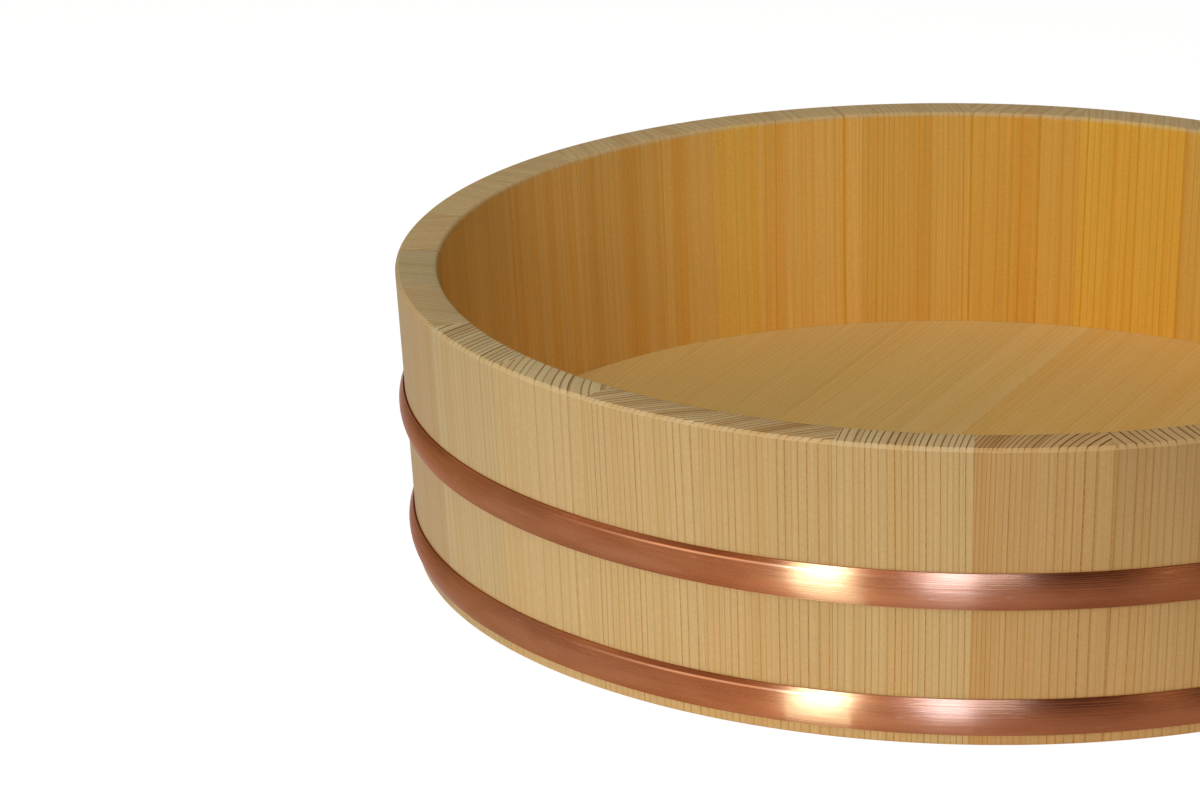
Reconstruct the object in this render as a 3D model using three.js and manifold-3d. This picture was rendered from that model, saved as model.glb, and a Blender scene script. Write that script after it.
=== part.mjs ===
// A round wooden tub for mixing and cooling sushi rice.
// Staves stand side by side in a ring that flares towards the rim, two domed copper hoops
// hold them together, and a floor of edge-joined boards sits in a groove near their feet.
// Millimetres, +Z up. The origin is on the ground at the tub's axis.
// Angles round the tub are counted from the front (-Y) towards the right (+X).

import * as THREE from 'three';
import { mergeGeometries, mergeVertices } from 'three/addons/utils/BufferGeometryUtils.js';
import Module from 'manifold-3d';

const wasm = await Module();
wasm.setup();

// Wall
const staveCount = 28;
const firstJointDegrees = 0.5;
const rimRadius = 180; // outside, at the lower edge of the rim's chamfer
const tubHeight = 92;
const wallTaper = 0.0656; // radius lost for each millimetre down the wall
const wallThickness = 13.2; // measured level
const rimChamfer = 1.2; // outer edge of the rim
const rimRoundWidth = 1.2; // softened inner edge of the rim
const rimRoundDepth = 1.6;
const footChamfer = 1;

// Floor
const footDepth = 6.7; // from the floor's underside to the ground
const floorThickness = 12;
const crozeDepth = 4; // groove in the staves that carries the floor's edge
const boardCount = 5;
const boardWidth = 59.4; // of the boards between the outermost two
const boardJointOffset = 18; // from the tub's axis to the board joint nearest to it
const grainDegrees = 69; // the way the boards run, from +X towards +Y

// Hoops
const hoopWidth = 11.3;
const hoopCrown = 2.1; // from the hoop's back to the top of its dome
const hoopEdge = 0.6; // thickness at the upper and lower edge
const hoopSheet = 0.8; // thickness of the formed copper sheet
const upperHoopDrop = 38; // from the rim to the upper edge of the upper hoop
const lowerHoopLift = 3.4; // from the ground to the lower edge of the lower hoop

// Bamboo pegs between the staves, dowels between the floor boards
const pegDiameter = 4;
const pegLength = 8; // what stands out of the stave's edge
const pegInset = 16; // from the rim, and from the floor, to a peg's axis
const dowelDiameter = 5;
const dowelLength = 40;
const dowelMargin = 4; // wood left past a dowel's end
const dowelsOnJoints = [2, 3]; // joints take turns, so that no two dowels meet in a board

// Clearance and facets
const fitGap = 0.3; // between any two pieces that touch
const stepsPerStave = 3;
const roundingSteps = 2;
const domeSteps = 6;
const pegSides = 8;

// What follows from them
const staveAngle = (2 * Math.PI) / staveCount;
const facetAngle = staveAngle / stepsPerStave;
const floorTop = footDepth + floorThickness;
const crozeBottom = footDepth - fitGap;
const crozeTop = floorTop + fitGap;
const crozeRadius = innerRadius(floorTop) + crozeDepth;
const floorRadius = crozeRadius * Math.cos(facetAngle / 2) - fitGap;
const innerFootRadius = innerRadius(0);
const upperHoopMiddle = tubHeight - upperHoopDrop - hoopWidth / 2;
const lowerHoopMiddle = lowerHoopLift + hoopWidth / 2;

// Outside of the wall at a height above the ground
function outerRadius(height) {
  return rimRadius - wallTaper * (tubHeight - rimChamfer - height);
}

// Inside of the wall at a height above the ground
function innerRadius(height) {
  return outerRadius(height) - wallThickness;
}

function wood(colour) {
  return new THREE.MeshStandardMaterial({ color: colour, roughness: 0.6, metalness: 0 });
}

function copper() {
  return new THREE.MeshStandardMaterial({ color: '#b87550', roughness: 0.28, metalness: 1 });
}

// A closed mesh as a solid that can be joined and cut
function solidOf(geometry) {
  const bare = geometry.clone();
  bare.deleteAttribute('normal');
  bare.deleteAttribute('uv');
  const welded = mergeVertices(bare);
  return new wasm.Manifold(new wasm.Mesh({
    numProp: 3,
    vertProperties: Float32Array.from(welded.attributes.position.array),
    triVerts: Uint32Array.from(welded.index.array),
  }));
}

// The solid's mesh
function geometryOf(solid) {
  const mesh = solid.getMesh();
  const geometry = new THREE.BufferGeometry();
  geometry.setAttribute('position', new THREE.BufferAttribute(mesh.vertProperties, 3));
  geometry.setIndex(new THREE.BufferAttribute(mesh.triVerts, 1));
  geometry.computeVertexNormals();
  return geometry;
}

// The stave's section as (radius, height): up the outside, over the rim and down the inside,
// with the croze cut into it
function staveProfile() {
  const chamferFoot = tubHeight - rimChamfer;
  const roundFoot = tubHeight - rimRoundDepth;
  const points = [
    new THREE.Vector2(outerRadius(0) - footChamfer, 0),
    new THREE.Vector2(outerRadius(footChamfer), footChamfer),
    new THREE.Vector2(rimRadius, chamferFoot),
    new THREE.Vector2(rimRadius - rimChamfer, tubHeight),
  ];
  for (let step = 0; step <= roundingSteps; step += 1) {
    const turn = (step / roundingSteps) * (Math.PI / 2);
    const radius = innerRadius(roundFoot) + rimRoundWidth * (1 - Math.sin(turn));
    points.push(new THREE.Vector2(radius, roundFoot + rimRoundDepth * Math.cos(turn)));
  }
  points.push(
    new THREE.Vector2(innerRadius(crozeTop), crozeTop),
    new THREE.Vector2(crozeRadius, crozeTop),
    new THREE.Vector2(crozeRadius, crozeBottom),
    new THREE.Vector2(innerRadius(crozeBottom), crozeBottom),
    new THREE.Vector2(innerRadius(footChamfer), footChamfer),
    new THREE.Vector2(innerRadius(0) + footChamfer, 0),
  );
  return points;
}

// One joint face of the stave, at an angle round the tub, facing back or on along the ring
function jointFace(profile, angle, facesOn) {
  const face = new THREE.ShapeGeometry(new THREE.Shape(profile));
  face.rotateY(angle - Math.PI / 2);
  if (facesOn) {
    face.index.array.reverse();
  }
  return face;
}

// A peg across the joint at an angle round the tub, in the middle of the wall's thickness.
// It runs from one end to the other, counted along the ring from the joint.
function pegAt(angle, height, diameter, from, to) {
  const peg = new THREE.CylinderGeometry(diameter / 2, diameter / 2, to - from, pegSides);
  peg.rotateZ(Math.PI / 2);
  peg.translate((from + to) / 2, wallThickness / 2 - outerRadius(height), height);
  peg.rotateZ(angle);
  return solidOf(peg);
}

// A stave that faces front: pegs stand out of its right edge and the left edge has their sockets
function staveGeometry() {
  const profile = staveProfile();
  const edge = staveAngle / 2 - fitGap / 2 / innerFootRadius;
  const skin = new THREE.LatheGeometry([...profile, profile[0]], stepsPerStave, -edge, 2 * edge);
  const closed = mergeGeometries([
    skin,
    jointFace(profile, -edge, false),
    jointFace(profile, edge, true),
  ]);
  closed.rotateX(Math.PI / 2);
  let stave = solidOf(closed);
  for (const height of [floorTop + pegInset, tubHeight - pegInset]) {
    const peg = pegAt(staveAngle / 2, height, pegDiameter, -pegLength, pegLength);
    const socketWidth = pegDiameter + 2 * fitGap;
    const socketEnd = pegLength + fitGap;
    const socket = pegAt(-staveAngle / 2, height, socketWidth, -socketEnd, socketEnd);
    stave = stave.add(peg).subtract(socket);
  }
  return geometryOf(stave);
}

// Rise of the hoop's dome over its edges, from -1 at the lower edge to 1 at the upper edge:
// an arc of a circle through both edges and the crown
function domeRise(along) {
  const half = hoopWidth / 2;
  const rise = hoopCrown - hoopEdge;
  const radius = (half * half + rise * rise) / (2 * rise);
  return Math.sqrt(radius * radius - (along * half) ** 2) - (radius - rise);
}

// The hoop's section: the dome going up, then its hollow back coming down, both set off the wall
function hoopGeometry(middle) {
  const points = [];
  const addPoint = (along, stand) => {
    const height = middle + (along * hoopWidth) / 2;
    points.push(new THREE.Vector2(outerRadius(height) + fitGap + stand, height));
  };
  for (let step = 0; step <= domeSteps; step += 1) {
    const along = (2 * step) / domeSteps - 1;
    addPoint(along, hoopEdge + domeRise(along));
  }
  addPoint(1, 0);
  for (let step = domeSteps - 1; step >= 1; step -= 1) {
    const along = (2 * step) / domeSteps - 1;
    addPoint(along, Math.max(0, hoopEdge + domeRise(along) - hoopSheet));
  }
  addPoint(-1, 0);
  const ring = new THREE.LatheGeometry([...points, points[0]], staveCount * stepsPerStave);
  ring.rotateX(Math.PI / 2);
  return ring;
}

// Points on the floor's round edge from one angle to another, in facets like the staves'
function edgeArc(from, to) {
  const count = Math.max(1, Math.ceil((to - from) / facetAngle));
  const points = [];
  for (let step = 0; step <= count; step += 1) {
    const angle = from + ((to - from) * step) / count;
    points.push(new THREE.Vector2(floorRadius * Math.cos(angle), floorRadius * Math.sin(angle)));
  }
  return points;
}

// Half the length along a board joint in which dowels keep inside the round floor
function dowelReach(offset) {
  const end = Math.abs(offset) + dowelLength / 2 + dowelMargin;
  return Math.sqrt(floorRadius ** 2 - end ** 2);
}

// Board joints across the floor, as distances from the axis, each with its dowels' places along it.
// The outermost boards take what is left up to the round edge.
function boardJoints() {
  const middle = Math.floor((boardCount - 1) / 2);
  const joints = [];
  for (let index = 0; index < boardCount - 1; index += 1) {
    const offset = boardJointOffset + (index - middle) * boardWidth;
    const count = dowelsOnJoints[index % dowelsOnJoints.length];
    const places = [];
    for (let dowel = 0; dowel < count; dowel += 1) {
      places.push(dowelReach(offset) * ((2 * dowel + 1) / count - 1));
    }
    joints.push({ offset, places });
  }
  return joints;
}

// A dowel along Y through a joint, at mid thickness
function dowelGeometry(diameter, length) {
  return new THREE.CylinderGeometry(diameter / 2, diameter / 2, length, pegSides);
}

// A board between two joints, or between a joint and the round edge where one is missing
function boardGeometry(below, above) {
  const low = below ? Math.asin((below.offset + fitGap / 2) / floorRadius) : -Math.PI / 2;
  const high = above ? Math.asin((above.offset - fitGap / 2) / floorRadius) : Math.PI / 2;
  const outline = [...edgeArc(low, high), ...edgeArc(Math.PI - high, Math.PI - low)];
  const board = new THREE.ExtrudeGeometry(new THREE.Shape(outline), {
    depth: floorThickness,
    bevelEnabled: false,
  });
  board.translate(0, 0, footDepth);
  let solid = solidOf(board);
  for (const joint of [below, above].filter(Boolean)) {
    for (const place of joint.places) {
      const socket = dowelGeometry(dowelDiameter + 2 * fitGap, dowelLength + 2 * fitGap);
      socket.translate(place, joint.offset, footDepth + floorThickness / 2);
      solid = solid.subtract(solidOf(socket));
    }
  }
  return geometryOf(solid);
}

function addMesh(group, name, geometry, material) {
  const mesh = new THREE.Mesh(geometry, material);
  mesh.name = name;
  group.add(mesh);
  return mesh;
}

function twoDigits(number) {
  return String(number).padStart(2, '0');
}

// Staves and hoops share their facets, so the wall group turns both to the first joint
function buildWall() {
  const wall = new THREE.Group();
  wall.rotation.z = THREE.MathUtils.degToRad(firstJointDegrees);
  const stave = staveGeometry();
  for (let index = 0; index < staveCount; index += 1) {
    const mesh = addMesh(wall, `stave_${twoDigits(index + 1)}`, stave, wood('#c7a46c'));
    mesh.rotation.z = (index + 1 / 2) * staveAngle;
  }
  addMesh(wall, 'upper_hoop', hoopGeometry(upperHoopMiddle), copper());
  addMesh(wall, 'lower_hoop', hoopGeometry(lowerHoopMiddle), copper());
  return wall;
}

// Boards run along X here, and the floor group turns them to the grain's direction
function buildFloor() {
  const floor = new THREE.Group();
  floor.rotation.z = THREE.MathUtils.degToRad(grainDegrees);
  const joints = boardJoints();
  for (let index = 0; index <= joints.length; index += 1) {
    const board = boardGeometry(joints[index - 1], joints[index]);
    addMesh(floor, `floor_board_${index + 1}`, board, wood('#b28f58'));
  }
  let dowelNumber = 0;
  for (const joint of joints) {
    for (const place of joint.places) {
      dowelNumber += 1;
      const dowel = dowelGeometry(dowelDiameter, dowelLength);
      const mesh = addMesh(floor, `floor_dowel_${twoDigits(dowelNumber)}`, dowel, wood('#d3bd86'));
      mesh.position.set(place, joint.offset, footDepth + floorThickness / 2);
    }
  }
  return floor;
}

const tub = new THREE.Group();
tub.add(buildWall(), buildFloor());

export default tub;
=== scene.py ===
import math

import bpy
import numpy as np
from mathutils import Matrix, Vector


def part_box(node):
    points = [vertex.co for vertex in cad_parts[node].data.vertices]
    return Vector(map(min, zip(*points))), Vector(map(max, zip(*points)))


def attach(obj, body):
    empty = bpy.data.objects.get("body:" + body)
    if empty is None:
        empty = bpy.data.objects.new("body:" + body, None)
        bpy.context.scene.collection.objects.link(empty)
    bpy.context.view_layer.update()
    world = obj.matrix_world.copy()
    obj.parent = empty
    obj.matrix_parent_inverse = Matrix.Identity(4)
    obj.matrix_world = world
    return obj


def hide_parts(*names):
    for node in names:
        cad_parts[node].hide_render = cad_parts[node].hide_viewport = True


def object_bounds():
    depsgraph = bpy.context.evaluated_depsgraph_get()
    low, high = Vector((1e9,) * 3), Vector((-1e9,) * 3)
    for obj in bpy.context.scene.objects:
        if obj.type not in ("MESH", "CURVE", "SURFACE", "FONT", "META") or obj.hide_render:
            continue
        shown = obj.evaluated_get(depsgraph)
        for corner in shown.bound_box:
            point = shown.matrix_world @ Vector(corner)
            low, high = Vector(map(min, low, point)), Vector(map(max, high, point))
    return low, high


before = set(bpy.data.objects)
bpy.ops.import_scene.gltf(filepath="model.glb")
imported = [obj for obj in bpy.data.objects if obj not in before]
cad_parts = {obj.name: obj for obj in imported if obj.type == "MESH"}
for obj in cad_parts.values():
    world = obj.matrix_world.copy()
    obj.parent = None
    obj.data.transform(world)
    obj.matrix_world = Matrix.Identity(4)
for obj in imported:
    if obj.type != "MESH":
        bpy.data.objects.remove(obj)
cadBox = [list(corner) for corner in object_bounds()]
print("frame loaded:", len(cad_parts), "solids")

# Metres everywhere. Angles round the tub are counted from the front (-Y) towards +X.
mm = 0.001
body = "root"


def hexToLinear(text):
    # sRGB hex to the linear red, green, blue and alpha that the nodes want
    srgb = np.array([int(text[i:i + 2], 16) for i in (1, 3, 5)]) / 255
    linear = np.where(srgb <= 0.04045, srgb / 12.92, ((srgb + 0.055) / 1.055) ** 2.4)
    return (*linear.tolist(), 1.0)


def shadesOf(look):
    # The hex colours among a material's settings, made linear
    return {part: hexToLinear(value) for part, value in look.items() if isinstance(value, str)}


def addNode(tree, kind, values=None, links=None, **settings):
    # Sockets go by name or number. A link comes from a socket, or from a node's first output in use.
    node = tree.nodes.new(kind)
    for name, value in settings.items():
        setattr(node, name, value)
    for socket, value in (values or {}).items():
        node.inputs[socket].default_value = value
    for socket, source in (links or {}).items():
        if isinstance(source, bpy.types.Node):
            source = next(output for output in source.outputs if output.enabled)
        tree.links.new(source, node.inputs[socket])
    return node


# Places of a colour mix's sockets, which have the same names as its other sockets
mixFactor, mixA, mixB = 0, 6, 7
noiseRange = (0.3, 0.7)        # where most of a noise's values lie
times = {"operation": "MULTIPLY"}
smooth = {"interpolation_type": "SMOOTHSTEP"}
inColour = {"data_type": "RGBA"}


def span(side, ends):
    # The two sockets of a range, for its From or To side
    return {f"{side} Min": ends[0], f"{side} Max": ends[1]}


def newMaterial(name):
    material = bpy.data.materials.new(name)
    material.use_nodes = True
    material.node_tree.nodes.clear()
    return material, material.node_tree


# Softwood

wood = {
    "early": "#d9b980",        # pale spring wood, the ground colour of a planed face
    "late": "#b2741a",         # the thin darker line that ends each year
    "earlyEnd": "#d9be8b",     # the same two across the grain, greyer and deeper
    "lateEnd": "#84521b",
    "lateGold": "#c89718",     # the line on the golden inner face
    "warmBand": "#d3a65c",     # broad bands of richer colour, a few years wide
    "warmBandEnd": "#b98f55",
    "bandWidth": 9.0,          # mm across the rings
    "bandNoise": (0.4, 0.75),
    "bandMost": 1.0,
    "stainEnd": "#a87838",     # brown streaks where the open grain took in more
    "stainWidth": 3.0,         # mm across the rings
    "stainNoise": (0.35, 0.8),
    "stainMost": 0.45,
    "sapTint": (1.04, 1.06, 0.82),  # the younger wood outside the heart, yellower
    "sapBlur": 1.0,            # mm to either side of its edge
    "drift": 1.3,              # mm that a ring wanders over its length
    "driftSize": (60.0, 150.0),     # mm across the grain and along it
    "unevenYears": 1.5,        # how far good and bad years shift the rings
    "lateStarts": (0.72, 0.92),     # parts of a year between which its line darkens
    "lateStops": (0.94, 1.0),       # and between which it ends
    "yearStrength": (0.35, 1.05),   # of the faintest line and the darkest
    "fibreSize": (0.4, 60.0),  # mm, drawn coarser than real fibres so that it shows
    "fibreLight": (0.92, 1.08),
    "fibreDepth": 0.03,        # mm
    "fleckSize": (1.2, 0.9),   # mm, likewise: the ripple across the grain that breaks up a line
    "fleckLight": (0.96, 1.04),
    "fleckNoise": (0.35, 0.65),
    "fleckBreak": (0.6, 1.35),      # what a fleck makes of the line's strength
    "endGrain": (0.75, 0.95),  # how square to the fibres a face starts and ends turning to end grain
    "roughness": 0.6,
    "lateGloss": 0.08,         # how much smoother the hard line is
    "specular": 0.26,          # dry and open, so less than polished wood
}


def ringedSoftwood(name, look):
    # Planed cypress, unfinished: straight year rings, each pale and then closing in a thin dark
    # line, run through the board in depth, so the lines on the faces meet the arcs on the ends.
    # treePlace is a point's place in its tree, in mm from the pith, with the trunk along z, and how
    # golden its face is.
    # growth holds rings for each mm, their change outwards, a number that tells boards apart, and
    # where the sapwood starts. tone is the board's own tint, with the strength of its lines, and
    # grainWay the way its fibres run, with the strength of its broad bands.
    material, tree = newMaterial(name)
    shade = shadesOf(look)
    place = addNode(tree, "ShaderNodeAttribute", attribute_name="treePlace")
    growth = addNode(tree, "ShaderNodeAttribute", attribute_name="growth")
    tone = addNode(tree, "ShaderNodeAttribute", attribute_name="tone")
    grain = addNode(tree, "ShaderNodeAttribute", attribute_name="grainWay")
    rates = addNode(tree, "ShaderNodeSeparateXYZ", links={"Vector": growth.outputs["Vector"]})
    rate, trend, seed = rates.outputs
    sapEdge = growth.outputs["Alpha"]
    treePlace = place.outputs["Vector"]
    lineTone = tone.outputs["Alpha"]
    bandTone = grain.outputs["Alpha"]

    # Noises drawn out along the trunk: the rings' wander, the flecks and the fibres
    noises = []
    for part, detail, rough in (("drift", 2.0, 0.5), ("fleck", 1.0, 0.5), ("fibre", 3.0, 0.6)):
        across, along = look[part + "Size"]
        drawnOut = addNode(tree, "ShaderNodeVectorMath", {1: (1 / across, 1 / across, 1 / along)},
                           {0: treePlace}, **times)
        noises.append(addNode(tree, "ShaderNodeTexNoise",
                              {"Scale": 1.0, "Detail": detail, "Roughness": rough},
                              {"Vector": drawnOut, "W": seed}, noise_dimensions="4D"))
    driftNoise, fleckNoise, fibreNoise = noises

    # Distance from the pith, with the wander of the rings
    driftCentred = addNode(tree, "ShaderNodeVectorMath", {1: (0.5, 0.5, 0.5)},
                           {0: driftNoise.outputs["Color"]}, operation="SUBTRACT")
    wander = 2 * look["drift"]
    wandered = addNode(tree, "ShaderNodeVectorMath", {1: (wander, wander, 0)},
                       {0: driftCentred, 2: treePlace}, operation="MULTIPLY_ADD")
    crossways = addNode(tree, "ShaderNodeVectorMath", {1: (1, 1, 0)}, {0: wandered}, **times)
    distance = addNode(tree, "ShaderNodeVectorMath", links={0: crossways}, operation="LENGTH")

    # Noises across the rings alone, and what they make of the broad bands and the stains
    ringNoise, ringShare = {}, {}
    for part, detail in (("band", 2.0), ("stain", 1.0)):
        ringPlace = addNode(tree, "ShaderNodeMath", {1: 1 / look[part + "Width"]},
                            {0: distance, 2: seed}, operation="MULTIPLY_ADD")
        noise = addNode(tree, "ShaderNodeTexNoise", {"Scale": 1.0, "Detail": detail}, {"W": ringPlace},
                        noise_dimensions="1D")
        shape = addNode(tree, "ShaderNodeMapRange",
                        span("From", look[part + "Noise"]) | span("To", (0, look[part + "Most"])),
                        {"Value": noise}, **smooth)
        ringNoise[part] = noise
        ringShare[part] = addNode(tree, "ShaderNodeMath", links={0: shape, 1: bandTone}, **times)

    # Years at that distance, and the share of dark late wood
    slope = addNode(tree, "ShaderNodeMath", links={0: distance, 1: trend, 2: rate},
                    operation="MULTIPLY_ADD")
    evenYears = addNode(tree, "ShaderNodeMath", links={0: slope, 1: distance}, **times)
    years = addNode(tree, "ShaderNodeMath", {1: look["unevenYears"]},
                    {0: ringNoise["band"], 2: evenYears}, operation="MULTIPLY_ADD")
    yearPart = addNode(tree, "ShaderNodeMath", links={0: years}, operation="FRACT")
    yearNumber = addNode(tree, "ShaderNodeMath", links={0: years}, operation="FLOOR")
    yearChance = addNode(tree, "ShaderNodeTexWhiteNoise", links={"W": yearNumber}, noise_dimensions="1D")
    darkening = addNode(tree, "ShaderNodeMapRange", span("From", look["lateStarts"]), {"Value": yearPart},
                        **smooth)
    ending = addNode(tree, "ShaderNodeMapRange", span("From", look["lateStops"]) | span("To", (1, 0)),
                     {"Value": yearPart}, **smooth)
    lateWood = addNode(tree, "ShaderNodeMath", links={0: darkening, 1: ending}, **times)
    yearStrength = addNode(tree, "ShaderNodeMapRange", span("To", look["yearStrength"]),
                           {"Value": yearChance})
    lateShare = addNode(tree, "ShaderNodeMath", links={0: lateWood, 1: yearStrength}, **times)

    # How strong the line is on a planed face and on end grain, where it is wider
    broken = addNode(tree, "ShaderNodeMapRange",
                     span("From", look["fleckNoise"]) | span("To", look["fleckBreak"]),
                     {"Value": fleckNoise})
    lineStrength = addNode(tree, "ShaderNodeMath", links={0: broken, 1: lineTone}, **times)
    lateOnFace = addNode(tree, "ShaderNodeMath", links={0: lateShare, 1: lineStrength}, **times)
    widerOnEnd = addNode(tree, "ShaderNodeMath", {1: 0.5}, {0: lateShare}, operation="POWER")
    lateOnEnd = addNode(tree, "ShaderNodeMath", links={0: widerOnEnd, 1: lineTone}, **times)
    surface = addNode(tree, "ShaderNodeNewGeometry")
    facing = addNode(tree, "ShaderNodeVectorMath",
                     links={0: surface.outputs["Normal"], 1: grain.outputs["Vector"]},
                     operation="DOT_PRODUCT")
    squareOn = addNode(tree, "ShaderNodeMath", links={0: facing}, operation="ABSOLUTE")
    endGrain = addNode(tree, "ShaderNodeMapRange", span("From", look["endGrain"]), {"Value": squareOn},
                       **smooth)

    # Colour along the grain
    ground = addNode(tree, "ShaderNodeMix", {mixA: shade["early"], mixB: shade["warmBand"]},
                     {mixFactor: ringShare["band"]}, **inColour)
    lateColour = addNode(tree, "ShaderNodeMix", {mixA: shade["late"], mixB: shade["lateGold"]},
                         {mixFactor: place.outputs["Alpha"]}, **inColour)
    faceColour = addNode(tree, "ShaderNodeMix",
                         links={mixFactor: lateOnFace, mixA: ground, mixB: lateColour}, **inColour)

    # Colour across it
    endGround = addNode(tree, "ShaderNodeMix", {mixA: shade["earlyEnd"], mixB: shade["warmBandEnd"]},
                        {mixFactor: ringShare["band"]}, **inColour)
    stainedEnd = addNode(tree, "ShaderNodeMix", {mixB: shade["stainEnd"]},
                         {mixFactor: ringShare["stain"], mixA: endGround}, **inColour)
    endColour = addNode(tree, "ShaderNodeMix", {mixB: shade["lateEnd"]},
                        {mixFactor: lateOnEnd, mixA: stainedEnd}, **inColour)

    # Both together, with the sapwood's tint on the faces and the board's own tint
    woodColour = addNode(tree, "ShaderNodeMix",
                         links={mixFactor: endGrain, mixA: faceColour, mixB: endColour}, **inColour)
    pastHeart = addNode(tree, "ShaderNodeMath", links={0: distance, 1: sapEdge}, operation="SUBTRACT")
    sapShare = addNode(tree, "ShaderNodeMapRange", span("From", (-look["sapBlur"], look["sapBlur"])),
                       {"Value": pastHeart}, **smooth)
    lengthways = addNode(tree, "ShaderNodeMath", {0: 1.0}, {1: endGrain}, operation="SUBTRACT")
    sapOnFace = addNode(tree, "ShaderNodeMath", links={0: sapShare, 1: lengthways}, **times)
    sapTint = addNode(tree, "ShaderNodeMix", {mixA: (1, 1, 1, 1), mixB: (*look["sapTint"], 1)},
                      {mixFactor: sapOnFace}, **inColour)
    aged = addNode(tree, "ShaderNodeVectorMath", links={0: woodColour, 1: sapTint}, **times)
    toned = addNode(tree, "ShaderNodeVectorMath", links={0: aged, 1: tone.outputs["Vector"]}, **times)
    fleckLight = addNode(tree, "ShaderNodeMapRange",
                         span("From", noiseRange) | span("To", look["fleckLight"]), {"Value": fleckNoise})
    fibreLight = addNode(tree, "ShaderNodeMapRange",
                         span("From", noiseRange) | span("To", look["fibreLight"]), {"Value": fibreNoise})
    texture = addNode(tree, "ShaderNodeMath", links={0: fibreLight, 1: fleckLight}, **times)
    streaked = addNode(tree, "ShaderNodeVectorMath", links={0: toned, "Scale": texture},
                       operation="SCALE")

    bump = addNode(tree, "ShaderNodeBump", {"Strength": 0.4, "Distance": look["fibreDepth"] * mm},
                   {"Height": fibreNoise})
    smoother = look["roughness"] - look["lateGloss"]
    sheen = addNode(tree, "ShaderNodeMapRange", span("To", (look["roughness"], smoother)),
                    {"Value": lateOnFace})
    shader = addNode(tree, "ShaderNodeBsdfPrincipled",
                     {"IOR": 1.5, "Specular IOR Level": look["specular"]},
                     {"Base Color": streaked, "Roughness": sheen, "Normal": bump})
    addNode(tree, "ShaderNodeOutputMaterial", links={"Surface": shader})
    return material


# Copper

copper = {
    "bright": "#a76a46",
    "dull": "#9d603d",
    "dullPatch": (30.0, 7.5),  # mm along the strip and across it
    "dullNoise": (0.35, 0.7),
    "grazing": "#e0c4b4",      # what it turns to at a glancing view
    "roughness": (0.25, 0.32),
    "anisotropy": 1.0,
    "spreadTurn": 0.25,        # of a full turn, so that highlights spread across the lines
    "lineWidth": 0.35,         # mm, drawn coarser and deeper than real polishing lines so that they show
    "lineLength": 400.0,       # mm
    "lineDepth": 0.14,         # mm
    "lineFilter": 0.004,       # pixels, so little that no line is smoothed away
    "ridgeHighlight": "#f0b48c",         # painted highlight along the ridge, a reflection of the light
    "paintedDarkBand": "#5c3018",      # painted shade on the strip above it, a dark reflection
    "nick": "#c99c84",         # small scuffs from handling
    "nickEvery": 14.0,         # mm
    "nickCrowding": (0.25, 1.2),    # along the strip and across it, so they lie lengthways
    "nickSize": 0.4,           # mm
    "nickMost": 0.25,
}


def drawnCopper(name, look):
    # Copper strip, drawn through a die and wiped along its length: fine lines run round the hoop
    # and spread each reflection across them, and handling leaves slightly duller patches.
    # The piece's UV map counts mm along the strip and across it, and an attribute says how much of the
    # painted highlight lies on the ridge and how much of the painted shade on the strip above it.
    material, tree = newMaterial(name)
    shade = shadesOf(look)
    strip = addNode(tree, "ShaderNodeUVMap", uv_map="strip")
    linePlace = addNode(tree, "ShaderNodeVectorMath",
                        {1: (1 / look["lineLength"], 1 / look["lineWidth"], 1)}, {0: strip}, **times)
    lines = addNode(tree, "ShaderNodeTexNoise", {"Scale": 1.0, "Detail": 3.0, "Roughness": 0.55},
                    {"Vector": linePlace}, noise_dimensions="2D")
    patchAlong, patchAcross = look["dullPatch"]
    patchPlace = addNode(tree, "ShaderNodeVectorMath", {1: (1 / patchAlong, 1 / patchAcross, 1)},
                         {0: strip}, **times)
    patches = addNode(tree, "ShaderNodeTexNoise", {"Scale": 1.0, "Detail": 3.0}, {"Vector": patchPlace},
                      noise_dimensions="2D")
    dullness = addNode(tree, "ShaderNodeMapRange", span("From", look["dullNoise"]), {"Value": patches},
                       **smooth)
    colour = addNode(tree, "ShaderNodeMix", {mixA: shade["bright"], mixB: shade["dull"]},
                     {mixFactor: dullness}, **inColour)

    nickAlong, nickAcross = look["nickCrowding"]
    nickPlace = addNode(tree, "ShaderNodeVectorMath",
                        {1: (nickAlong / look["nickEvery"], nickAcross / look["nickEvery"], 1)},
                        {0: strip}, **times)
    nicks = addNode(tree, "ShaderNodeTexVoronoi", {"Scale": 1.0}, {"Vector": nickPlace},
                    voronoi_dimensions="2D")
    nickReach = look["nickSize"] / look["nickEvery"]
    nickShare = addNode(tree, "ShaderNodeMapRange",
                        span("From", (nickReach / 2, nickReach)) | span("To", (look["nickMost"], 0)),
                        {"Value": nicks})
    ridgeLight = addNode(tree, "ShaderNodeAttribute", attribute_name="ridgeLight")
    ridgeLightParts = addNode(tree, "ShaderNodeSeparateXYZ", links={"Vector": ridgeLight.outputs["Vector"]})
    ridgeLit, darkBandShare, _ = ridgeLightParts.outputs
    # Small scuffs, then the painted shade above the ridge and the painted highlight on it
    for part, share in (("nick", nickShare), ("paintedDarkBand", darkBandShare), ("ridgeHighlight", ridgeLit)):
        colour = addNode(tree, "ShaderNodeMix", {mixB: shade[part]}, {mixFactor: share, mixA: colour},
                         **inColour)

    rough = addNode(tree, "ShaderNodeMapRange", span("From", noiseRange) | span("To", look["roughness"]),
                    {"Value": lines})
    bump = addNode(tree, "ShaderNodeBump",
                   {"Strength": 1.0, "Distance": look["lineDepth"] * mm,
                    "Filter Width": look["lineFilter"]},
                   {"Height": lines})
    tangent = addNode(tree, "ShaderNodeTangent", direction_type="UV_MAP", uv_map="strip")
    shader = addNode(tree, "ShaderNodeBsdfPrincipled",
                     {"Metallic": 1.0, "Anisotropic": look["anisotropy"],
                      "Anisotropic Rotation": look["spreadTurn"], "Specular Tint": shade["grazing"]},
                     {"Base Color": colour, "Roughness": rough, "Normal": bump, "Tangent": tangent})
    addNode(tree, "ShaderNodeOutputMaterial", links={"Surface": shader})
    return material


# Bamboo of the hidden dowels

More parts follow.
